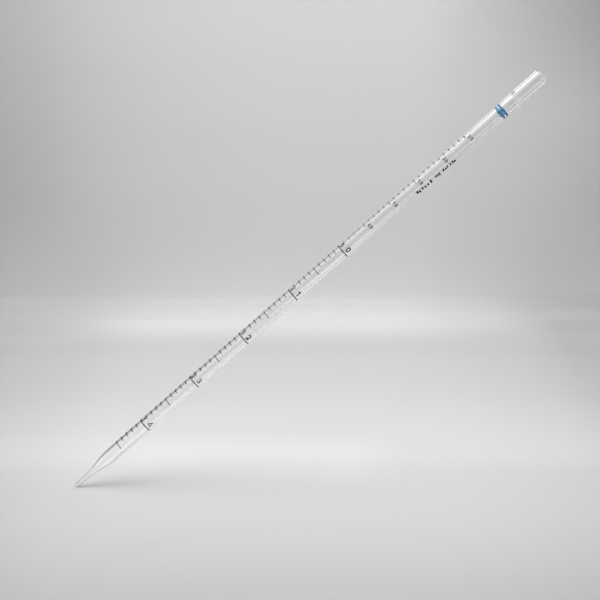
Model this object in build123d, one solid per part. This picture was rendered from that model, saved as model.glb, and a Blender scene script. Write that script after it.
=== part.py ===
from build123d import *
import math
import os

# Serological pipette, 5 mL in 1/10 mL: a clear tube with a welded-on tip and
# mouthpiece, black printed scales and a blue capacity band.
# Frame: origin at the centre of the tip's end face, +Z up the axis to the
# mouth, the printed scale faces -Y. All lengths in mm, angles in degrees.
# An angle "phi" is measured about the axis from -Y towards +X.

# ---- overall and tube -------------------------------------------------------
TOTAL_LENGTH = 342.0
ML_PITCH = 36.45                    # length of bore that holds 1 mL
BARREL_ID = 2 * math.sqrt(1000.0 / (math.pi * ML_PITCH))   # 5.910
BARREL_OD = 8.2
BORE_R = BARREL_ID / 2
BARREL_R = BARREL_OD / 2

# ---- tip: z and radius tables, read with a smooth monotone curve ------------
TIP_WELD_Z = 34.0                   # tip meets barrel
TIP_OUTER = [(0.0, 1.45), (4.0, 1.49), (8.0, 1.62), (11.0, 1.86), (14.0, 2.28),
             (17.0, 2.84), (20.0, 3.36), (23.0, 3.78), (26.0, 4.03),
             (29.0, BARREL_R), (TIP_WELD_Z, BARREL_R)]
TIP_INNER = [(0.0, 0.80), (6.0, 0.80), (8.0, 0.93), (11.0, 1.23), (14.0, 1.72),
             (17.0, 2.28), (20.0, 2.76), (22.0, 2.91), (24.0, BORE_R),
             (TIP_WELD_Z, BORE_R)]
TIP_CHAMFER = 0.12                  # broken edge at the orifice
ORIFICE_R = 0.80
ORIFICE_LENGTH = 6.0

# ---- mouthpiece -------------------------------------------------------------
MOUTH_WELD_Z = 315.3                # barrel meets mouthpiece
MOUTH_FLARE_Z = 323.6               # flare ends, counterbore begins
MOUTH_OD = 8.85
MOUTH_R = MOUTH_OD / 2
COUNTERBORE_R = 3.38
SHOULDER = 0.8                      # length of the cone below the counterbore
RIM_RADIUS = 0.3

# ---- printing ---------------------------------------------------------------
INK = 0.05                          # film thickness
ZERO_Z = 197.0                      # height of the 0 line
LINE_MAJOR = 0.56                   # line widths
LINE_HALF = 0.38
LINE_MINOR = 0.44
LINE_OVERFILL = 0.36
PHI_START = -105.0                  # every line starts here
PHI_END_MAJOR = 67.0
PHI_END_HALF = 14.0
PHI_END_MINOR = -26.0
PHI_END_OVER_LONG = -27.0           # lines above zero
PHI_END_OVER_SHORT = -40.0
OVERFILL_TENTHS = 25                # tenths of a mL above the zero line

NUM_HEIGHT, NUM_WIDTH, NUM_STROKE = 3.3, 2.15, 0.62     # descending 0 to 4
NUM_PHI, NUM_RISE = 21.0, 1.15
REV_HEIGHT, REV_WIDTH, REV_STROKE = 2.6, 1.8, 0.48      # ascending 1 to 5
REV_PHI, REV_RISE = -41.0, 0.62
OVR_HEIGHT, OVR_WIDTH, OVR_STROKE = 1.9, 1.25, 0.40     # above zero, 0.5 to 2.5
OVR_PHI, OVR_RISE, OVR_GAP, OVR_DOT = -5.5, 1.15, 0.14, 0.34

BAND_RINGS = [(311.0, 311.95), (313.05, 314.0)]          # blue capacity band

# A row of plain blocks where the lettering of such a pipette runs:
# (start z, end z, start phi, end phi)
LEGEND_BLOCKS = [
    (248.4, 249.7, 34, 58), (250.0, 251.1, 44, 80), (252.1, 253.1, 36, 66),
    (253.9, 254.9, 46, 76), (255.8, 256.8, 46, 76), (258.1, 259.1, 34, 80),
    (261.8, 262.6, 36, 62), (263.0, 263.8, 36, 70), (264.3, 265.2, 36, 80),
    (267.2, 268.2, 36, 64), (268.7, 269.6, 46, 76), (270.0, 271.0, 40, 60),
    (272.3, 273.1, 36, 80), (274.0, 274.8, 34, 80), (275.2, 276.2, 46, 80),
]


# ---- smooth monotone curve through a table of (z, radius) -------------------
def monotone(table):
    z = [p[0] for p in table]
    r = [p[1] for p in table]
    n = len(z)
    h = [z[i + 1] - z[i] for i in range(n - 1)]
    d = [(r[i + 1] - r[i]) / h[i] for i in range(n - 1)]
    m = [0.0] * n
    for i in range(1, n - 1):
        if d[i - 1] * d[i] > 0:
            w1, w2 = 2 * h[i] + h[i - 1], h[i] + 2 * h[i - 1]
            m[i] = (w1 + w2) / (w1 / d[i - 1] + w2 / d[i])

    def at(q):
        i = 0
        while i < n - 2 and q > z[i + 1]:
            i += 1
        t = (q - z[i]) / h[i]
        return ((1 + 2 * t) * (1 - t) ** 2 * r[i] + t * (1 - t) ** 2 * h[i] * m[i]
                + t * t * (3 - 2 * t) * r[i + 1] + t * t * (t - 1) * h[i] * m[i + 1])
    return at


def samples(f, z0, z1, step):
    n = max(2, round((z1 - z0) / step) + 1)
    return [(f(z0 + (z1 - z0) * i / (n - 1)), z0 + (z1 - z0) * i / (n - 1))
            for i in range(n)]


def lathe(edges):
    """Revolve a closed outline of edges, drawn in (radius, z), about the axis."""
    face = Plane.XZ * make_face(Curve() + edges)
    return revolve(face, axis=Axis.Z, revolution_arc=360)


# ---- the three moulded pieces ----------------------------------------------
tip_out, tip_in = monotone(TIP_OUTER), monotone(TIP_INNER)
c = TIP_CHAMFER
outer_start = (tip_out(c), c)
outer_end = (BARREL_R, 29.0)
inner_start = (ORIFICE_R, ORIFICE_LENGTH)
inner_end = (BORE_R, 24.0)
tip = lathe([
    Line((ORIFICE_R, 0), (outer_start[0] - c, 0)),
    Line((outer_start[0] - c, 0), outer_start),
    Spline(samples(tip_out, c, 29.0, 1.2), tangents=[(0.01, 1), (0, 1)]),
    Line(outer_end, (BARREL_R, TIP_WELD_Z)),
    Line((BARREL_R, TIP_WELD_Z), (BORE_R, TIP_WELD_Z)),
    Line((BORE_R, TIP_WELD_Z), inner_end),
    Spline(samples(tip_in, ORIFICE_LENGTH, 24.0, 1.0)[::-1],
           tangents=[(0, -1), (0, -1)]),
    Line(inner_start, (ORIFICE_R, 0)),
])

barrel_tube = lathe([
    Polyline((BORE_R, TIP_WELD_Z), (BARREL_R, TIP_WELD_Z),
             (BARREL_R, MOUTH_WELD_Z), (BORE_R, MOUTH_WELD_Z), close=True),
])

q = RIM_RADIUS
shoulder_r = 3.08                   # bore radius where the shoulder cone starts
mouthpiece = lathe([
    Line((BORE_R, MOUTH_WELD_Z), (BARREL_R, MOUTH_WELD_Z)),
    Spline([(BARREL_R, MOUTH_WELD_Z),
            ((BARREL_R + MOUTH_R) / 2, (MOUTH_WELD_Z + MOUTH_FLARE_Z) / 2),
            (MOUTH_R, MOUTH_FLARE_Z)], tangents=[(0, 1), (0, 1)]),
    Line((MOUTH_R, MOUTH_FLARE_Z), (MOUTH_R, TOTAL_LENGTH - q)),
    RadiusArc((MOUTH_R, TOTAL_LENGTH - q), (MOUTH_R - q, TOTAL_LENGTH), -q),
    Line((MOUTH_R - q, TOTAL_LENGTH), (COUNTERBORE_R + q, TOTAL_LENGTH)),
    RadiusArc((COUNTERBORE_R + q, TOTAL_LENGTH),
              (COUNTERBORE_R, TOTAL_LENGTH - q), -q),
    Line((COUNTERBORE_R, TOTAL_LENGTH - q), (COUNTERBORE_R, MOUTH_FLARE_Z)),
    Line((COUNTERBORE_R, MOUTH_FLARE_Z), (shoulder_r, MOUTH_FLARE_Z - SHOULDER)),
    Line((shoulder_r, MOUTH_FLARE_Z - SHOULDER), (BORE_R, MOUTH_WELD_Z)),
])


# ---- printed film -----------------------------------------------------------
def sector(z0, z1, phi0, phi1, r=BARREL_R):
    """A patch of film on the tube, from z0 to z1 and from phi0 to phi1."""
    flat = Plane.XZ * Pos(r + INK / 2, (z0 + z1) / 2) * Rectangle(INK, z1 - z0)
    arc = revolve(flat, axis=Axis.Z, revolution_arc=phi1 - phi0)
    return Rot(0, 0, phi0 - 90) * arc


def line_at(z, width, phi_end):
    return sector(z - width / 2, z + width / 2, PHI_START, phi_end)


def stroke(points, t):
    """Outline of a pen stroke of width t along a run of points."""
    left, right = [], []
    for i, (x, y) in enumerate(points):
        ax, ay = points[max(i - 1, 0)]
        bx, by = points[min(i + 1, len(points) - 1)]
        l = math.hypot(bx - ax, by - ay)
        nx, ny = -(by - ay) / l * t / 2, (bx - ax) / l * t / 2
        left.append((x + nx, y + ny))
        right.append((x - nx, y - ny))
    return left + right[::-1]


def arc(cx, cy, rx, ry, a0, a1, n=18):
    return [(cx + rx * math.cos(math.radians(a0 + (a1 - a0) * i / n)),
             cy + ry * math.sin(math.radians(a0 + (a1 - a0) * i / n)))
            for i in range(n + 1)]


def rounded(a, b, n=40, p=2.4):
    pts = []
    for i in range(n):
        c, s = math.cos(2 * math.pi * i / n), math.sin(2 * math.pi * i / n)
        pts.append((a * math.copysign(abs(c) ** (2 / p), c),
                    b * math.copysign(abs(s) ** (2 / p), s)))
    return pts


def glyph(ch, w, h, t):
    """A numeral as (outline, holes) shapes: x across, from -w/2, y up from 0."""
    a = (w - t) / 2
    if ch == "0":
        o = [(x, y + h / 2) for x, y in rounded(w / 2, h / 2)]
        i = [(x, y + h / 2) for x, y in rounded(w / 2 - t, h / 2 - t)]
        return [(o, [i])]
    if ch == "1":
        s = 0.10 * w
        return [([(s + t / 2, 0), (s + t / 2, h), (s - t * 0.45, h),
                  (s - t / 2 - 0.30 * w, 0.80 * h),
                  (s - t / 2 - 0.30 * w, 0.80 * h - 0.95 * t),
                  (s - t / 2, 0.90 * h - 0.95 * t), (s - t / 2, 0)], [])]
    if ch == "2":
        ry = 0.27 * h
        bowl = arc(0, h - t / 2 - ry, a, ry, 165, -35)
        return [(stroke(bowl + [(-a * 0.72, t * 0.62)], t), []),
                ([(-w / 2, 0), (w / 2, 0), (w / 2, t), (-w / 2, t)], [])]
    if ch == "3":
        r1 = (h / 2 - t / 2) / 2
        a *= 1.14
        return [(stroke(arc(-0.03 * w, h - t / 2 - r1, a * 0.94, r1, 162, -92), t * 0.8), []),
                (stroke(arc(-0.03 * w, t / 2 + r1, a, r1, 92, -162), t * 0.8), []),
                (stroke([(-0.34 * w, t / 2 + 2 * r1), (0.02 * w, t / 2 + 2 * r1)], t * 0.6), [])]
    if ch == "4":
        w *= 1.12
        s, y, k, foot = 0.22 * w, 0.28 * h, 0.34 * t, -0.09 * h
        return [([(s - k, foot), (s + k, foot), (s + k, h), (s - k, h)], []),
                ([(-w / 2, y - k), (w / 2, y - k), (w / 2, y + k), (-w / 2, y + k)], []),
                (stroke([(-w / 2 + k * 0.8, y), (s - k * 0.2, h - k)], 2 * k), [])]
    if ch == "5":
        ry = 0.30 * h
        return [([(-a, h - t), (a + t * 0.2, h - t), (a + t * 0.2, h), (-a, h)], []),
                ([(-a - t * 0.2, 0.44 * h), (-a + t * 0.8, 0.44 * h),
                  (-a + t * 0.8, h), (-a - t * 0.2, h)], []),
                (stroke(arc(-0.02 * w, t / 2 + ry, a, ry, 145, -145), t), [])]
    raise ValueError(ch)


def wrap(shapes, phi, z, shift=0.0):
    """Lay flat shapes on the tube at angle phi, their foot at height z."""
    out = None
    for outline, holes in shapes:
        f = make_face(Polyline(*[(x + shift, y) for x, y in outline], close=True))
        for hole in holes:
            f -= make_face(Polyline(*[(x + shift, y) for x, y in hole], close=True))
        plane = Plane(origin=(0, 0, z), x_dir=(1, 0, 0), z_dir=(0, -1, 0))
        solid = extrude(plane * f, amount=BARREL_R + 3)
        out = solid if out is None else out + solid
    shell = (Pos(0, 0, z + 2) * Cylinder(BARREL_R + INK, 16)
             - Pos(0, 0, z + 2) * Cylinder(BARREL_R, 16))
    shell = shell & (Pos(0, -10, z + 2) * Box(20, 20, 16))
    return Rot(0, 0, phi) * (shell & out)


def numeral(text, phi, z, w, h, t, gap=0.14, dot=0.34):
    """A number on the tube, centred on phi, its foot at height z."""
    widths = [dot if ch == "." else w for ch in text]
    total = sum(widths) + gap * (len(text) - 1)
    x = -total / 2
    parts = []
    for ch, wd in zip(text, widths):
        turn = math.degrees((x + wd / 2) / BARREL_R)
        shapes = ([([(-dot / 2, 0), (dot / 2, 0), (dot / 2, dot), (-dot / 2, dot)], [])]
                  if ch == "." else glyph(ch, w, h, t))
        parts.append(wrap(shapes, phi + turn, z))
        x += wd + gap
    return parts


def solids_of(items):
    out = []
    for s in items:
        out.extend(s.solids())
    return Compound(children=out) if len(out) > 1 else out[0]


def z_of(ml):
    return ZERO_Z - ml * ML_PITCH


whole_lines = solids_of([line_at(z_of(v), LINE_MAJOR, PHI_END_MAJOR) for v in range(5)])
half_lines = solids_of([line_at(z_of(v + 0.5), LINE_HALF, PHI_END_HALF)
                        for v in range(5)])
tenth_lines = solids_of([line_at(z_of(k / 10), LINE_MINOR, PHI_END_MINOR)
                         for k in range(1, 45) if k % 5])
overfill_lines = solids_of([
    line_at(z_of(-k / 10), LINE_OVERFILL,
            PHI_END_OVER_SHORT if k % 5 else PHI_END_OVER_LONG)
    for k in range(1, OVERFILL_TENTHS + 1)])

descending = solids_of([s for v in range(5) for s in numeral(
    str(v), NUM_PHI, z_of(v) + NUM_RISE, NUM_WIDTH, NUM_HEIGHT, NUM_STROKE)])
ascending = solids_of([s for v in range(5) for s in numeral(
    str(5 - v), REV_PHI, z_of(v) + REV_RISE, REV_WIDTH, REV_HEIGHT, REV_STROKE)])
overfill = solids_of([s for k in range(1, 6) for s in numeral(
    "%.1f" % (k / 2), OVR_PHI, z_of(-k / 2) + OVR_RISE,
    OVR_WIDTH, OVR_HEIGHT, OVR_STROKE, OVR_GAP, OVR_DOT)])
legend = solids_of([sector(*b) for b in LEGEND_BLOCKS])
band_lower, band_upper = [
    Pos(0, 0, (z0 + z1) / 2) * (Cylinder(BARREL_R + INK, z1 - z0)
                                - Cylinder(BARREL_R, z1 - z0))
    for z0, z1 in BAND_RINGS]

NODES = {
    "tip": tip,
    "barrel_tube": barrel_tube,
    "mouthpiece": mouthpiece,
    "colour_band_lower_ring": band_lower,
    "colour_band_upper_ring": band_upper,
    "whole_ml_lines": whole_lines,
    "half_ml_lines": half_lines,
    "tenth_ml_lines": tenth_lines,
    "overfill_lines": overfill_lines,
    "descending_numerals": descending,
    "ascending_numerals": ascending,
    "overfill_numerals": overfill,
    "legend_blocks": legend,
}

os.makedirs("parts", exist_ok=True)
for name, shape in NODES.items():
    export_step(shape, "parts/%s.step" % name)

# Volume of the bore below the 4.5 mL and 0 mL lines, in mL
steps = 4000
low = z_of(4.5)
v45 = sum(math.pi * tip_in((i + 0.5) * low / steps) ** 2 * low / steps
          for i in range(steps)) / 1000
print("bore below the 4.5 line %.3f mL, below the 0 line %.3f mL" % (v45, v45 + 4.5))
print("bore diameter %.3f mm" % BARREL_ID)
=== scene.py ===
import math

import bmesh
import bpy
from mathutils import Matrix, Vector
from mathutils.geometry import delaunay_2d_cdt


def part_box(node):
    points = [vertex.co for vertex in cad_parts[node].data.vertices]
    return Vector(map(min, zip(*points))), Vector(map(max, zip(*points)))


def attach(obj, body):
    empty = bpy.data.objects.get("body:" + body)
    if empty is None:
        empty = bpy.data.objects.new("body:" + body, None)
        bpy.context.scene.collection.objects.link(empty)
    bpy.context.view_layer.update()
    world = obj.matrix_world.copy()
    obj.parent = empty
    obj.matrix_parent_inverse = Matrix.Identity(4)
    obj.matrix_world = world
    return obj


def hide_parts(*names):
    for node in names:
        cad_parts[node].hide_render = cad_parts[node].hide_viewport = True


# A 5 mL serological pipette leaning with its tip on a pale glossy table.
# The row frame has +Z up the pipette's axis and the scale on the -Y side. The
# table is a stage in that frame, so it stands tilted and the pipette doesn't.

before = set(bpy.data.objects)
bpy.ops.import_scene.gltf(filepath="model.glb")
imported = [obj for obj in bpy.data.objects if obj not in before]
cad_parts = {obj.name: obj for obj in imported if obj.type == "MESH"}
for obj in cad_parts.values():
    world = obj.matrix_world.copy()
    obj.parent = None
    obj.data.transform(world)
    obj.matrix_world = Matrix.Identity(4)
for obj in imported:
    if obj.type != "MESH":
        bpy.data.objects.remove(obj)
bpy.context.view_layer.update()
scene = bpy.context.scene
MM = 0.001

# ---------------------------------------------------------------- dimensions
tip_lo, tip_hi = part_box("tip")
tube_lo, tube_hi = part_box("barrel_tube")
mouth_lo, mouth_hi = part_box("mouthpiece")
TIP_WELD = tip_hi.z / MM                # 34.0
MOUTH_WELD = tube_hi.z / MM             # 315.3
TOP = mouth_hi.z / MM                   # 342.0
BARREL_R = 4.1
MOUTH_R = 4.425
PITCH = 36.45                           # mm of scale for 1 mL
BORE_R = math.sqrt(1000.0 / (math.pi * PITCH))
COUNTERBORE_R = 3.38
FLARE_TOP = 323.6
ZERO_Z = 197.0
RIM = 0.3
TIP_OUTER = [(0.0, 1.45), (4.0, 1.49), (8.0, 1.62), (11.0, 1.86), (14.0, 2.28),
             (17.0, 2.84), (20.0, 3.36), (23.0, 3.78), (26.0, 4.03),
             (29.0, BARREL_R), (34.0, BARREL_R)]
TIP_INNER = [(0.0, 0.80), (6.0, 0.80), (8.0, 0.93), (11.0, 1.23), (14.0, 1.72),
             (17.0, 2.28), (20.0, 2.76), (22.0, 2.91), (24.0, BORE_R),
             (34.0, BORE_R)]
AROUND = 192                            # segments round a moulded piece


# ------------------------------------------------------------------ camera
CAM_AT = (-0.000000, -0.840940, 0.203425)
CAM_RIGHT = Vector((0.660893, 0.033685, 0.749723))
CAM_UP = Vector((-0.750460, 0.036962, 0.659882))
CAM_BACK = Vector((-0.005483, -0.998749, 0.049708))
FLOOR_UP = Vector((-0.729494, -0.205755, 0.652306))
FLOOR_AT = Vector((0.001396, 0.000394, 0.000000))

cam_data = bpy.data.cameras.new("camera")
cam_data.sensor_width = 36.0
cam_data.lens = 91.515
cam_data.clip_start = 0.01
cam_data.clip_end = 50.0
cam = bpy.data.objects.new("camera", cam_data)
scene.collection.objects.link(cam)
rot = Matrix((CAM_RIGHT, CAM_UP, CAM_BACK)).transposed().to_4x4()
cam.matrix_world = Matrix.Translation(CAM_AT) @ rot
scene.camera = cam

# table frame: X to the camera's right, Y away from it, Z up from the table
FLOOR_X = (CAM_RIGHT - CAM_RIGHT.dot(FLOOR_UP) * FLOOR_UP).normalized()
FLOOR_Y = FLOOR_UP.cross(FLOOR_X)
TABLE = Matrix.Translation(FLOOR_AT) @ Matrix(
    (FLOOR_X, FLOOR_Y, FLOOR_UP)).transposed().to_4x4()


# ------------------------------------------------------------- node helpers
class Nodes:
    """A short way to build a node tree."""

    def __init__(self, tree):
        self.t = tree
        self.t.nodes.clear()

    def new(self, kind, **values):
        n = self.t.nodes.new(kind)
        for k, v in values.items():
            setattr(n, k, v)
        return n

    def link(self, a, b):
        self.t.links.new(a, b)

    def noise(self, vector, scale, detail=3.0, rough=0.55):
        n = self.new("ShaderNodeTexNoise")
        n.inputs["Scale"].default_value = scale
        n.inputs["Detail"].default_value = detail
        n.inputs["Roughness"].default_value = rough
        self.link(vector, n.inputs["Vector"])
        return n.outputs["Fac"]

    def span(self, value, a, b, c, d, smooth=False):
        n = self.new("ShaderNodeMapRange")
        if smooth:
            n.interpolation_type = "SMOOTHSTEP"
        for i, v in enumerate((a, b, c, d)):
            n.inputs[i + 1].default_value = v
        self.link(value, n.inputs[0])
        return n.outputs[0]

    def math(self, op, a, b=None):
        n = self.new("ShaderNodeMath", operation=op)
        for i, v in enumerate((a, b)):
            if v is None:
                continue
            if isinstance(v, (int, float)):
                n.inputs[i].default_value = v
            else:
                self.link(v, n.inputs[i])
        return n.outputs[0]

    def mapping(self, vector, scale):
        n = self.new("ShaderNodeMapping")
        n.inputs["Scale"].default_value = scale
        self.link(vector, n.inputs["Vector"])
        return n.outputs["Vector"]

    def ramp(self, value, stops):
        n = self.new("ShaderNodeValToRGB")
        e = n.color_ramp.elements
        while len(e) < len(stops):
            e.new(0.5)
        for el, (p, c) in zip(e, stops):
            el.position = p
            el.color = (*c, 1.0) if len(c) == 3 else c
        self.link(value, n.inputs["Fac"])
        return n.outputs["Color"]


def material(name):
    m = bpy.data.materials.new(name)
    m.use_nodes = True
    return m, Nodes(m.node_tree)


def clear_polystyrene():
    """Clear extruded polystyrene: faint draw lines along the axis and a little
    haze, with the roughness and the relief from nodes."""
    m, n = material("clear_polystyrene")
    out = n.new("ShaderNodeOutputMaterial")
    p = n.new("ShaderNodeBsdfPrincipled")
    p.inputs["Base Color"].default_value = (0.985, 0.992, 0.992, 1)
    p.inputs["IOR"].default_value = 1.59
    p.inputs["Transmission Weight"].default_value = 1.0
    at = n.new("ShaderNodeTexCoord").outputs["Object"]
    lines = n.noise(n.mapping(at, (1, 1, 0.012)), 1500.0, 2.0)
    swell = n.noise(n.mapping(at, (1, 1, 0.04)), 160.0, 2.0)
    rough = n.span(n.noise(n.mapping(at, (1, 1, 0.02)), 420.0, 3.0), 0.35, 0.75,
                   0.015, 0.03)
    n.link(rough, p.inputs["Roughness"])
    height = n.math("ADD", n.math("MULTIPLY", lines, 0.35), swell)
    bump = n.new("ShaderNodeBump")
    bump.inputs["Strength"].default_value = 0.01
    bump.inputs["Distance"].default_value = 0.00002
    n.link(height, bump.inputs["Height"])
    n.link(bump.outputs["Normal"], p.inputs["Normal"])
    n.link(p.outputs["BSDF"], out.inputs["Surface"])
    return m


def weld_face():
    """Where two moulded pieces are fused, there is no surface to see."""
    m, n = material("weld_face")
    out = n.new("ShaderNodeOutputMaterial")
    t = n.new("ShaderNodeBsdfTransparent")
    n.link(t.outputs[0], out.inputs["Surface"])
    return m


def ink(name, dark, light, rough_lo, rough_hi, through=None, gloss=0.22):
    """Pad-printed ink: mottled density and a satin surface. A colour to let
    through makes the film translucent."""
    m, n = material(name)
    out = n.new("ShaderNodeOutputMaterial")
    p = n.new("ShaderNodeBsdfPrincipled")
    at = n.new("ShaderNodeTexCoord").outputs["Object"]
    cloud = n.noise(at, 900.0, 4.0)
    n.link(n.ramp(cloud, [(0.30, dark), (0.72, light)]), p.inputs["Base Color"])
    grain = n.noise(at, 6000.0, 2.0)
    n.link(n.span(grain, 0.3, 0.7, rough_lo, rough_hi), p.inputs["Roughness"])
    bump = n.new("ShaderNodeBump")
    bump.inputs["Strength"].default_value = 0.3
    bump.inputs["Distance"].default_value = 0.00001
    n.link(grain, bump.inputs["Height"])
    n.link(bump.outputs["Normal"], p.inputs["Normal"])
    p.inputs["IOR"].default_value = 1.5
    p.inputs["Specular IOR Level"].default_value = gloss
    if through is None:
        n.link(p.outputs["BSDF"], out.inputs["Surface"])
        return m
    clear = n.new("ShaderNodeBsdfTransparent")
    clear.inputs["Color"].default_value = (*through, 1)
    mix = n.new("ShaderNodeMixShader")
    n.link(n.span(cloud, 0.3, 0.7, 0.32, 0.24), mix.inputs[0])
    n.link(p.outputs["BSDF"], mix.inputs[1])
    n.link(clear.outputs[0], mix.inputs[2])
    n.link(mix.outputs[0], out.inputs["Surface"])
    return m


CLEAR = clear_polystyrene()
WELD = weld_face()
BLACK = ink("black_ink", (0.004, 0.004, 0.005), (0.012, 0.012, 0.014), 0.5, 0.7)
BLUE = ink("blue_ink", (0.004, 0.18, 0.42), (0.008, 0.25, 0.54), 0.10, 0.18,
           through=(0.12, 0.66, 0.97), gloss=0.95)
# painted light: the inside face of the band, seen through the plastic at the back of the tube,
# is given a paler blue that stands in for the lighter look the band has there
BLUE_INSIDE_PAINTED_PALE = ink("blue_ink_inside_painted_pale", (0.05, 0.38, 0.66), (0.09, 0.46, 0.74), 0.3, 0.45,
                 through=(0.35, 0.80, 0.97))


# ------------------------------------------------------------- mesh helpers
def monotone(table):
    """A smooth curve through a table of (z, radius) that never overshoots."""
    z = [p[0] for p in table]
    r = [p[1] for p in table]
    n = len(z)
    h = [z[i + 1] - z[i] for i in range(n - 1)]
    d = [(r[i + 1] - r[i]) / h[i] for i in range(n - 1)]
    m = [0.0] * n
    for i in range(1, n - 1):
        if d[i - 1] * d[i] > 0:
            w1, w2 = 2 * h[i] + h[i - 1], h[i] + 2 * h[i - 1]
            m[i] = (w1 + w2) / (w1 / d[i - 1] + w2 / d[i])

    def at(q):
        i = 0
        while i < n - 2 and q > z[i + 1]:
            i += 1
        t = (q - z[i]) / h[i]
        return ((1 + 2 * t) * (1 - t) ** 2 * r[i] + t * (1 - t) ** 2 * h[i] * m[i]
                + t * t * (3 - 2 * t) * r[i + 1] + t * t * (t - 1) * h[i] * m[i + 1])
    return at


def finish_piece(bm, name, materials, nodes, sharp=35.0):
    """Turn a bmesh in metres into a piece that stands for CAD nodes."""
    bmesh.ops.recalc_face_normals(bm, faces=bm.faces)
    for f in bm.faces:
        f.smooth = True
    for e in bm.edges:
        if len(e.link_faces) == 2:
            e.smooth = e.calc_face_angle(0.0) < math.radians(sharp)
    mesh = bpy.data.meshes.new(name)
    bm.to_mesh(mesh)
    bm.free()
    for m in materials:
        mesh.materials.append(m)
    ob = bpy.data.objects.new(name, mesh)
    scene.collection.objects.link(ob)
    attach(ob, "root")
    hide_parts(*nodes)
    return ob


def lathe(name, outline, caps, nodes):
    """Revolve a closed outline of (radius, z) in mm. Stretches whose index is in
    caps are weld faces."""
    bm = bmesh.new()
    rings = []
    for r, z in outline:
        rings.append([bm.verts.new((r * MM * math.cos(2 * math.pi * i / AROUND),
                                    r * MM * math.sin(2 * math.pi * i / AROUND),
                                    z * MM)) for i in range(AROUND)])
    for k in range(len(rings)):
        a, b = rings[k], rings[(k + 1) % len(rings)]
        for i in range(AROUND):
            j = (i + 1) % AROUND
            f = bm.faces.new((a[i], a[j], b[j], b[i]))
            f.material_index = 1 if k in caps else 0
    return finish_piece(bm, name, [CLEAR, WELD], nodes)


def climb(f, z0, z1, step):
    n = max(1, round(abs(z1 - z0) / step))
    return [(f(z0 + (z1 - z0) * i / n), z0 + (z1 - z0) * i / n) for i in range(n + 1)]


# ------------------------------------------------------- the moulded pieces
tip_out, tip_in = monotone(TIP_OUTER), monotone(TIP_INNER)


def seam(z, at, height, width):
    """The low witness ring that a weld leaves."""
    return height * math.exp(-((z - at) / width) ** 2)


def flat_out(z):
    return BARREL_R


def flat_in(z):
    return BORE_R


outer = [(tip_out(0.12) - 0.12, 0.0)] + climb(tip_out, 0.12, 29.0, 0.4)
outer += climb(flat_out, 29.6, TIP_WELD, 0.4)
inner = climb(flat_in, TIP_WELD, 24.6, 0.4) + climb(tip_in, 24.0, 6.0, 0.4)
inner += [(0.80, 3.0), (0.80, 0.08), (0.86, 0.0)]
tip = lathe("tip_clear", outer + inner, {len(outer) - 1}, ["tip"])

outer = climb(flat_out, TIP_WELD, MOUTH_WELD, 4.0)
inner = climb(flat_in, MOUTH_WELD, TIP_WELD, 4.0)
barrel = lathe("barrel_clear", outer + inner,
               {len(outer) - 1, len(outer) + len(inner) - 1}, ["barrel_tube"])


def flare(z):
    t = (z - MOUTH_WELD) / (FLARE_TOP - MOUTH_WELD)
    return BARREL_R + (MOUTH_R - BARREL_R) * t * t * (3 - 2 * t)


outer = climb(flare, MOUTH_WELD, FLARE_TOP, 0.5)
outer += climb(lambda z: MOUTH_R, FLARE_TOP + 0.5, TOP - RIM, 2.0)
outer += [(MOUTH_R - RIM + RIM * math.cos(a), TOP - RIM + RIM * math.sin(a))
          for a in (math.pi / 2 * k / 6 for k in range(1, 7))]
inner = [(COUNTERBORE_R + RIM - RIM * math.sin(a), TOP - RIM + RIM * math.cos(a))
         for a in (math.pi / 2 * k / 6 for k in range(0, 7))]
inner += climb(lambda z: COUNTERBORE_R, TOP - RIM - 1.0, FLARE_TOP, 2.0)
inner += climb(lambda z: 3.08 + (z - FLARE_TOP + 0.8) / 0.8 * (COUNTERBORE_R - 3.08),
               FLARE_TOP - 0.1, FLARE_TOP - 0.8, 0.2)
inner += climb(lambda z: BORE_R + (3.08 - BORE_R) * (z - MOUTH_WELD)
               / (FLARE_TOP - 0.8 - MOUTH_WELD), FLARE_TOP - 1.2, MOUTH_WELD, 1.0)
mouth = lathe("mouthpiece_clear", outer + inner, {len(outer) + len(inner) - 1},
              ["mouthpiece"])


# ------------------------------------------------------------- printed film
# A film reaches a little into the plastic, as ink that has bonded to it does,
# so that it is also seen through the wall from inside.
FILM_OUT = BARREL_R + 0.045
FILM_IN = BARREL_R - 0.02
PHI_START = -105.0


def wrapped(r, phi, z):
    """phi in degrees from -Y towards +X; r and z in mm."""
    a = math.radians(phi)
    return (r * MM * math.sin(a), -r * MM * math.cos(a), z * MM)


def add_sector(bm, z0, z1, phi0, phi1, under=False):
    """A closed patch of film."""
    n = max(1, math.ceil(abs(phi1 - phi0) / 3.0))
    bevel = min(0.03, (z1 - z0) * 0.15)
    section = [(FILM_IN, z0), (FILM_OUT - bevel, z0), (FILM_OUT, z0 + bevel),
               (FILM_OUT, z1 - bevel), (FILM_OUT - bevel, z1), (FILM_IN, z1)]
    rows = []
    for i in range(n + 1):
        phi = phi0 + (phi1 - phi0) * i / n
        rows.append([bm.verts.new(wrapped(r, phi, z)) for r, z in section])
    closed = abs(phi1 - phi0) >= 359.99
    if closed:
        for v in rows[-1]:
            bm.verts.remove(v)
        rows[-1] = rows[0]
    k = len(section)
    for a, b in zip(rows, rows[1:]):
        for i in range(k):
            f = bm.faces.new((a[i], a[(i + 1) % k], b[(i + 1) % k], b[i]))
            if i == k - 1 and under:
                f.material_index = 1
    if not closed:
        bm.faces.new(rows[0])
        bm.faces.new(rows[-1][::-1])


def stroke(points, t):
    left, right = [], []
    for i, (x, y) in enumerate(points):
        ax, ay = points[max(i - 1, 0)]
        bx, by = points[min(i + 1, len(points) - 1)]
        l = math.hypot(bx - ax, by - ay)
        nx, ny = -(by - ay) / l * t / 2, (bx - ax) / l * t / 2
        left.append((x + nx, y + ny))
        right.append((x - nx, y - ny))
    return left + right[::-1]


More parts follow.
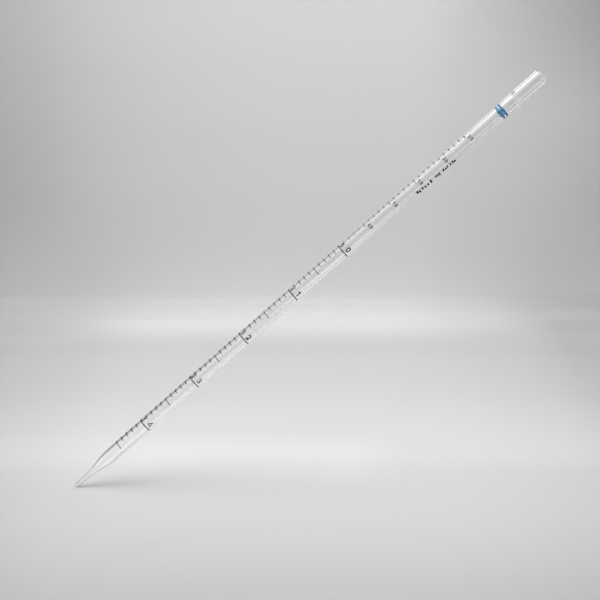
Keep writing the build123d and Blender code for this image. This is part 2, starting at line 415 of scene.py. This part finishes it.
def arc(cx, cy, rx, ry, a0, a1, n=22):
    return [(cx + rx * math.cos(math.radians(a0 + (a1 - a0) * i / n)),
             cy + ry * math.sin(math.radians(a0 + (a1 - a0) * i / n)))
            for i in range(n + 1)]


def rounded(a, b, cy, n=48, p=2.4):
    pts = []
    for i in range(n):
        c, s = math.cos(2 * math.pi * i / n), math.sin(2 * math.pi * i / n)
        pts.append((a * math.copysign(abs(c) ** (2 / p), c),
                    cy + b * math.copysign(abs(s) ** (2 / p), s)))
    return pts


def glyph(ch, w, h, t):
    """A numeral as overlapping outlines, with its holes apart."""
    a = (w - t) / 2
    if ch == "0":
        return [rounded(w / 2, h / 2, h / 2)], [rounded(w / 2 - t, h / 2 - t, h / 2)]
    if ch == "1":
        s = 0.10 * w
        return [[(s + t / 2, 0), (s + t / 2, h), (s - t * 0.45, h),
                 (s - t / 2 - 0.30 * w, 0.80 * h),
                 (s - t / 2 - 0.30 * w, 0.80 * h - 0.95 * t),
                 (s - t / 2, 0.90 * h - 0.95 * t), (s - t / 2, 0)]], []
    if ch == "2":
        ry = 0.27 * h
        bowl = arc(0, h - t / 2 - ry, a, ry, 165, -35)
        return [stroke(bowl + [(-a * 0.72, t * 0.62)], t),
                [(-w / 2, 0), (w / 2, 0), (w / 2, t), (-w / 2, t)]], []
    if ch == "3":
        r1 = (h / 2 - t / 2) / 2
        a *= 1.14
        return [stroke(arc(-0.03 * w, h - t / 2 - r1, a * 0.94, r1, 162, -92), t * 0.8),
                stroke(arc(-0.03 * w, t / 2 + r1, a, r1, 92, -162), t * 0.8),
                stroke([(-0.34 * w, t / 2 + 2 * r1), (0.02 * w, t / 2 + 2 * r1)], t * 0.6)], []
    if ch == "4":
        w *= 1.12
        s, y, k, foot = 0.22 * w, 0.28 * h, 0.34 * t, -0.09 * h
        return [[(s - k, foot), (s + k, foot), (s + k, h), (s - k, h)],
                [(-w / 2, y - k), (w / 2, y - k), (w / 2, y + k), (-w / 2, y + k)],
                stroke([(-w / 2 + k * 0.8, y), (s - k * 0.2, h - k)], 2 * k)], []
    if ch == "5":
        ry = 0.30 * h
        return [[(-a, h - t), (a + t * 0.2, h - t), (a + t * 0.2, h), (-a, h)],
                [(-a - t * 0.2, 0.44 * h), (-a + t * 0.8, 0.44 * h),
                 (-a + t * 0.8, h), (-a - t * 0.2, h)],
                stroke(arc(-0.02 * w, t / 2 + ry, a, ry, 145, -145), t)], []
    raise ValueError(ch)


def inside(x, y, poly):
    hit = False
    for (x0, y0), (x1, y1) in zip(poly, poly[1:] + poly[:1]):
        if (y0 > y) != (y1 > y) and x < x0 + (y - y0) * (x1 - x0) / (y1 - y0):
            hit = not hit
    return hit


def add_shape(bm, outlines, holes, phi, z):
    """Lay flat outlines (mm, x round the tube and y up it) on the tube as one
    closed film: merged into one flat sheet, cut in strips, thickened, wrapped."""
    pts, edges = [], []
    for poly in outlines + holes:
        base = len(pts)
        pts += [Vector(p) for p in poly]
        edges += [(base + i, base + (i + 1) % len(poly)) for i in range(len(poly))]
    verts, _, faces, *_ = delaunay_2d_cdt(pts, edges, [], 0, 1e-5)
    flat = bmesh.new()
    vs = [flat.verts.new((v.x, v.y, 0.0)) for v in verts]
    for f in faces:
        cx = sum(verts[i].x for i in f) / len(f)
        cy = sum(verts[i].y for i in f) / len(f)
        if any(inside(cx, cy, p) for p in outlines) and not any(
                inside(cx, cy, p) for p in holes):
            flat.faces.new([vs[i] for i in f])
    bmesh.ops.delete(flat, geom=[v for v in flat.verts if not v.link_faces],
                     context="VERTS")
    lo = min(v.co.x for v in flat.verts)
    hi = max(v.co.x for v in flat.verts)
    cuts = max(1, math.ceil((hi - lo) / 0.22))
    for k in range(1, cuts):
        bmesh.ops.bisect_plane(
            flat, geom=flat.verts[:] + flat.edges[:] + flat.faces[:],
            plane_co=(lo + (hi - lo) * k / cuts, 0, 0), plane_no=(1, 0, 0))
    made = bmesh.ops.extrude_face_region(flat, geom=flat.faces[:])
    for v in made["geom"]:
        if isinstance(v, bmesh.types.BMVert):
            v.co.z = 1.0
    bmesh.ops.recalc_face_normals(flat, faces=flat.faces)
    index = {}
    for v in flat.verts:
        r = FILM_OUT if v.co.z > 0.5 else FILM_IN
        index[v] = bm.verts.new(
            wrapped(r, phi + math.degrees(v.co.x / BARREL_R), z + v.co.y))
    for f in flat.faces:
        bm.faces.new([index[v] for v in f.verts])
    flat.free()


def add_number(bm, text, phi, z, w, h, t, gap=0.14, dot=0.34):
    widths = [dot if ch == "." else w for ch in text]
    x = -(sum(widths) + gap * (len(text) - 1)) / 2
    for ch, wd in zip(text, widths):
        turn = math.degrees((x + wd / 2) / BARREL_R)
        if ch == ".":
            outlines, holes = [rounded(dot / 2, dot / 2, dot / 2, 20, 2.0)], []
        else:
            outlines, holes = glyph(ch, w, h, t)
        add_shape(bm, outlines, holes, phi + turn, z)
        x += wd + gap


def z_of(ml):
    return ZERO_Z - ml * PITCH


def lines(name, rows):
    """rows of (mL, width, end angle)."""
    bm = bmesh.new()
    for ml, width, end in rows:
        add_sector(bm, z_of(ml) - width / 2, z_of(ml) + width / 2, PHI_START, end)
    return finish_piece(bm, "print_" + name, [BLACK], [name])


lines("whole_ml_lines", [(v, 0.56, 67.0) for v in range(5)])
lines("half_ml_lines", [(v + 0.5, 0.38, 14.0) for v in range(5)])
lines("tenth_ml_lines", [(k / 10, 0.44, -26.0) for k in range(1, 45) if k % 5])
lines("overfill_lines", [(-k / 10, 0.36, -40.0 if k % 5 else -27.0)
                         for k in range(1, 26)])

bm = bmesh.new()
for v in range(5):
    add_number(bm, str(v), 21.0, z_of(v) + 1.15, 2.15, 3.3, 0.62)
finish_piece(bm, "print_descending_numerals", [BLACK],
             ["descending_numerals"])
bm = bmesh.new()
for v in range(5):
    add_number(bm, str(5 - v), -41.0, z_of(v) + 0.62, 1.8, 2.6, 0.48)
finish_piece(bm, "print_ascending_numerals", [BLACK],
             ["ascending_numerals"])
bm = bmesh.new()
for k in range(1, 6):
    add_number(bm, "%.1f" % (k / 2), -5.5, z_of(-k / 2) + 1.15, 1.25, 1.9, 0.40)
finish_piece(bm, "print_overfill_numerals", [BLACK],
             ["overfill_numerals"])

LEGEND_BLOCKS = [
    (248.4, 249.7, 34, 58), (250.0, 251.1, 44, 80), (252.1, 253.1, 36, 66),
    (253.9, 254.9, 46, 76), (255.8, 256.8, 46, 76), (258.1, 259.1, 34, 80),
    (261.8, 262.6, 36, 62), (263.0, 263.8, 36, 70), (264.3, 265.2, 36, 80),
    (267.2, 268.2, 36, 64), (268.7, 269.6, 46, 76), (270.0, 271.0, 40, 60),
    (272.3, 273.1, 36, 80), (274.0, 274.8, 34, 80), (275.2, 276.2, 46, 80),
]
bm = bmesh.new()
for b in LEGEND_BLOCKS:
    add_sector(bm, *b)
finish_piece(bm, "print_legend_blocks", [BLACK], ["legend_blocks"])

for name, (z0, z1) in (("colour_band_lower_ring", (311.0, 311.95)),
                       ("colour_band_upper_ring", (313.05, 314.0))):
    bm = bmesh.new()
    # the inside face takes the blue painted paler, standing in for the band's lighter look
    # through the tube
    add_sector(bm, z0, z1, 0.0, 360.0, under=True)
    finish_piece(bm, "print_" + name, [BLUE, BLUE_INSIDE_PAINTED_PALE], [name])


# -------------------------------------------------------------------- stage
WALL_Y = 0.365                          # the backdrop, behind the table
SWEEP = 0.015
# painted light: the paper's albedo, graded to stand in for the fall-off of light along it and
# the brighter grazing reflection near the backdrop: (distance from the tip, albedo)
TABLE_PAINTED_LIGHT = [(-0.900, 0.374), (-0.300, 0.409), (-0.153, 0.452), (-0.102, 0.509),
               (-0.044, 0.569), (0.023, 0.617), (0.061, 0.670), (0.119, 0.644),
               (0.183, 0.598), (0.252, 0.571), (0.281, 0.556), (0.312, 0.579),
               (0.335, 0.635), (0.354, 0.691), (0.365, 0.701)]
WALL_PAINTED_LIGHT = [(0.000, 0.707), (0.008, 0.711), (0.013, 0.783), (0.018, 0.772),
              (0.027, 0.751), (0.036, 0.735), (0.054, 0.717), (0.072, 0.713),
              (0.089, 0.716), (0.116, 0.735), (0.142, 0.748), (0.168, 0.773),
              (0.193, 0.788), (0.218, 0.812), (0.243, 0.827), (0.255, 0.832)]
# and the painted fall-off of light to the sides: (across the table, share)
TABLE_PAINTED_SIDE_LIGHT = [(-0.14, 0.63), (-0.12, 0.68), (-0.04, 0.90), (0.03, 1.0), (0.18, 1.0),
               (0.28, 0.92), (0.37, 0.73), (0.40, 0.78), (0.46, 1.25), (0.75, 1.25)]
WALL_PAINTED_SIDE_LIGHT = [(-0.14, 0.62), (-0.112, 0.71), (-0.076, 0.785), (-0.035, 0.88),
              (0.005, 0.934), (0.086, 0.988), (0.15, 1.0), (0.20, 1.0),
              (0.247, 0.95), (0.287, 0.90), (0.328, 0.82), (0.363, 0.74),
              (0.75, 0.55)]


# painted light and painted shade: patches in corners where the painted fall-off isn't the same
# all the way:
# (share, x where it starts, x where it is full, y or z start, y or z full)
TABLE_PAINTED_LIGHT_PATCHES = [(0.09, -0.03, -0.115, 0.10, 0.25), (0.09, 0.32, 0.37, 0.10, 0.25),
                 (-0.15, 0.01, -0.09, 0.30, 0.34), (-0.09, 0.26, 0.33, 0.315, 0.345),
                 (0.07, 0.28, 0.18, 0.29, 0.33), (-0.05, 0.33, 0.37, 0.315, 0.345),
                 (0.08, 0.19, 0.15, -0.005, 0.03), (-0.074, 0.19, 0.15, 0.055, 0.10),
                 (-0.05, 0.04, 0.0, -0.005, 0.03), (0.05, 0.04, 0.0, 0.055, 0.10)]
WALL_PAINTED_LIGHT_PATCHES = [(-0.27, 0.20, 0.36, 0.15, 0.25), (0.13, -0.03, -0.115, 0.11, 0.03),
                (0.10, 0.31, 0.37, 0.11, 0.03), (-0.15, 0.01, -0.115, 0.014, 0.001),
                (-0.10, 0.26, 0.33, 0.022, 0.008), (0.05, 0.28, 0.18, 0.020, 0.006),
                (-0.04, 0.33, 0.37, 0.022, 0.008)]


def stage_material(name, axis, painted_light_stops, painted_side_light, painted_light_patches, gloss):
    """Pale studio paper with painted light: its albedo is graded along and across the sheet,
    with lighter and darker patches, to stand in for the fall-off of the light on it. It is
    one-sided: from behind or below it isn't there, so that the pipette can be looked at from
    any side."""
    m, n = material(name)
    out = n.new("ShaderNodeOutputMaterial")
    p = n.new("ShaderNodeBsdfPrincipled")
    at = n.new("ShaderNodeTexCoord").outputs["Object"]
    parts = n.new("ShaderNodeSeparateXYZ")
    n.link(at, parts.inputs[0])

    def graded(value, stops):
        lo, hi = stops[0][0], stops[-1][0]
        c = n.new("ShaderNodeFloatCurve")
        curve = c.mapping.curves[0]
        pts = [((x - lo) / (hi - lo), y) for x, y in stops]
        curve.points[0].location = pts[0]
        curve.points[1].location = pts[-1]
        for q in pts[1:-1]:
            curve.points.new(*q)
        for q in curve.points:
            q.handle_type = "AUTO_CLAMPED"
        c.mapping.update()
        n.link(n.span(value, lo, hi, 0.0, 1.0), c.inputs["Value"])
        return c.outputs[0]

    # painted light: the albedo is graded along and across the sheet to stand in for how the
    # light falls on it
    painted_light_tone = n.math("MULTIPLY", graded(parts.outputs[axis], painted_light_stops),
                  graded(parts.outputs["X"], painted_side_light))
    # painted lighter and darker patches of light laid over the graded albedo
    for share, xa, xb, va, vb in painted_light_patches:
        def ease(value, a, b):
            if a < b:
                return n.span(value, a, b, 0.0, 1.0, smooth=True)
            return n.span(value, b, a, 1.0, 0.0, smooth=True)
        painted_patch_mask = n.math("MULTIPLY", ease(parts.outputs["X"], xa, xb),
                       ease(parts.outputs[axis], va, vb))
        painted_light_tone = n.math("MULTIPLY", painted_light_tone,
                      n.math("ADD", n.math("MULTIPLY", painted_patch_mask, share), 1.0))
    grain = n.span(n.noise(at, 5.0, 2.0), 0.3, 0.7, 0.995, 1.005)
    painted_light_tone = n.math("MULTIPLY", painted_light_tone, grain)
    colour = n.new("ShaderNodeCombineColor")
    n.link(painted_light_tone, colour.inputs[0])
    n.link(painted_light_tone, colour.inputs[1])
    n.link(n.math("MULTIPLY", painted_light_tone, 0.994), colour.inputs[2])
    n.link(colour.outputs[0], p.inputs["Base Color"])
    p.inputs["Roughness"].default_value = 0.9
    p.inputs["Specular IOR Level"].default_value = 0.0
    if gloss:
        # a faint mirror image in the table, gone by its far edge
        mirror = n.new("ShaderNodeBsdfGlossy")
        mirror.inputs["Roughness"].default_value = 0.02
        paper = n.new("ShaderNodeMixShader")
        n.link(n.span(parts.outputs["Y"], 0.20, 0.34, 0.11, 0.0, smooth=True),
               paper.inputs[0])
        n.link(p.outputs[0], paper.inputs[1])
        n.link(mirror.outputs[0], paper.inputs[2])
        p = paper
    clear = n.new("ShaderNodeBsdfTransparent")
    mix = n.new("ShaderNodeMixShader")
    n.link(n.new("ShaderNodeNewGeometry").outputs["Backfacing"], mix.inputs[0])
    n.link(p.outputs[0], mix.inputs[1])
    n.link(clear.outputs[0], mix.inputs[2])
    n.link(mix.outputs[0], out.inputs["Surface"])
    return m


def stage_piece(name, profile, x0, x1, mat):
    """A sheet that follows a (y, z) profile in the table frame."""
    bm = bmesh.new()
    cols = 24
    rows = [[bm.verts.new((x0 + (x1 - x0) * i / cols, y, z))
             for i in range(cols + 1)] for y, z in profile]
    for a, b in zip(rows, rows[1:]):
        for i in range(cols):
            f = bm.faces.new((a[i], a[i + 1], b[i + 1], b[i]))
            f.smooth = True
    mesh = bpy.data.meshes.new(name)
    bm.to_mesh(mesh)
    bm.free()
    mesh.materials.append(mat)
    ob = bpy.data.objects.new(name, mesh)
    scene.collection.objects.link(ob)
    ob.matrix_world = TABLE
    return ob


# both sheets carry painted light: an albedo graded to stand in for the fall of light on them
floor = stage_piece("table_top", [(-0.9, 0), (-0.4, 0), (0.0, 0), (WALL_Y, 0)],
                    -0.14, 0.9, stage_material("table_gloss_painted_light", "Y", TABLE_PAINTED_LIGHT,
                                      TABLE_PAINTED_SIDE_LIGHT, TABLE_PAINTED_LIGHT_PATCHES, True))
wall = stage_piece("backdrop", [(WALL_Y, 0)]
                   + [(WALL_Y + SWEEP * math.sin(a), SWEEP - SWEEP * math.cos(a))
                      for a in (math.pi / 2 * k / 8 for k in range(1, 9))]
                   + [(WALL_Y + SWEEP, 0.14), (WALL_Y + SWEEP, 0.255)], -0.14, 0.9,
                   stage_material("backdrop_painted_light", "Z", WALL_PAINTED_LIGHT, WALL_PAINTED_SIDE_LIGHT,
                                  WALL_PAINTED_LIGHT_PATCHES, False))

# ----------------------------------------------------------------- surround
# The soft light round the pipette. The turn is the angle round its axis, from
# the camera towards the upper left; light comes from a large soft source on
# the left, and the room is dark past the left end of the table.
TIP_SIDE = [(-175, 0.5), (-20, 0.5), (5, 0.5), (20, 0.6), (35, 0.9), (50, 1.4),
            (65, 1.7), (78, 1.7), (90, 1.4), (102, 0.9), (113, 0.48), (125, 0.27),
            (150, 0.24), (163, 0.34), (172, 0.45), (179, 0.52)]
MOUTH_SIDE = [(-175, 0.5), (-20, 0.45), (5, 0.3), (20, 0.45), (35, 1), (50, 1.8),
              (65, 2.4), (80, 2.3), (95, 1.6), (108, 0.8), (118, 0.5), (130, 0.45),
              (142, 0.6), (150, 1.35), (160, 2.1), (171, 1.9), (179, 0.9)]

world = bpy.data.worlds.new("studio")
scene.world = world
world.use_nodes = True
n = Nodes(world.node_tree)
out = n.new("ShaderNodeOutputWorld")
bg = n.new("ShaderNodeBackground")
ray = n.new("ShaderNodeSeparateXYZ")
n.link(n.new("ShaderNodeTexCoord").outputs["Generated"], ray.inputs[0])
turn = n.math("ARCTAN2", n.math("MULTIPLY", ray.outputs[0], -1.0),
              n.math("MULTIPLY", ray.outputs[1], -1.0))
turn = n.span(turn, -math.pi, math.pi, 0.0, 1.0)


def glow(stops):
    return n.ramp(turn, [((a + 180) / 360, (v / 3, v / 3, v / 3)) for a, v in stops])


mix = n.new("ShaderNodeMix", data_type="RGBA")
n.link(n.span(ray.outputs[2], -0.08, 0.09, 0.0, 1.0, smooth=True), mix.inputs["Factor"])
n.link(glow(TIP_SIDE), mix.inputs[6])
n.link(glow(MOUTH_SIDE), mix.inputs[7])
bg.inputs["Strength"].default_value = 3.0
# past the table's edges the eye meets a plain grey room, not the light source
room = n.new("ShaderNodeMix", data_type="RGBA")
n.link(n.new("ShaderNodeLightPath").outputs["Is Camera Ray"], room.inputs["Factor"])
n.link(mix.outputs[2], room.inputs[6])
room.inputs[7].default_value = (0.2, 0.2, 0.1985, 1)
n.link(room.outputs[2], bg.inputs["Color"])
n.link(bg.outputs[0], out.inputs["Surface"])

# a weak fill on the paper only, so that it reads evenly lit
lamp = bpy.data.lights.new("paper_fill", "AREA")
lamp.shape = "SQUARE"
lamp.size = 0.7
lamp.energy = 1.2
fill = bpy.data.objects.new("paper_fill", lamp)
scene.collection.objects.link(fill)
at = Vector((0.12, -0.25, 0.75))
z = (at - Vector((0.12, 0.38, 0.10))).normalized()
x = Vector((1, 0, 0))
fill.matrix_world = TABLE @ Matrix.Translation(at) @ Matrix(
    (x, z.cross(x), z)).transposed().to_4x4()
fill.visible_camera = False
fill.visible_glossy = False
fill.visible_transmission = False

scene.view_settings.view_transform = "Standard"
scene.view_settings.look = "None"
scene.cycles.max_bounces = 24
scene.cycles.transmission_bounces = 20
scene.cycles.glossy_bounces = 12
scene.cycles.diffuse_bounces = 4
scene.cycles.transparent_max_bounces = 24
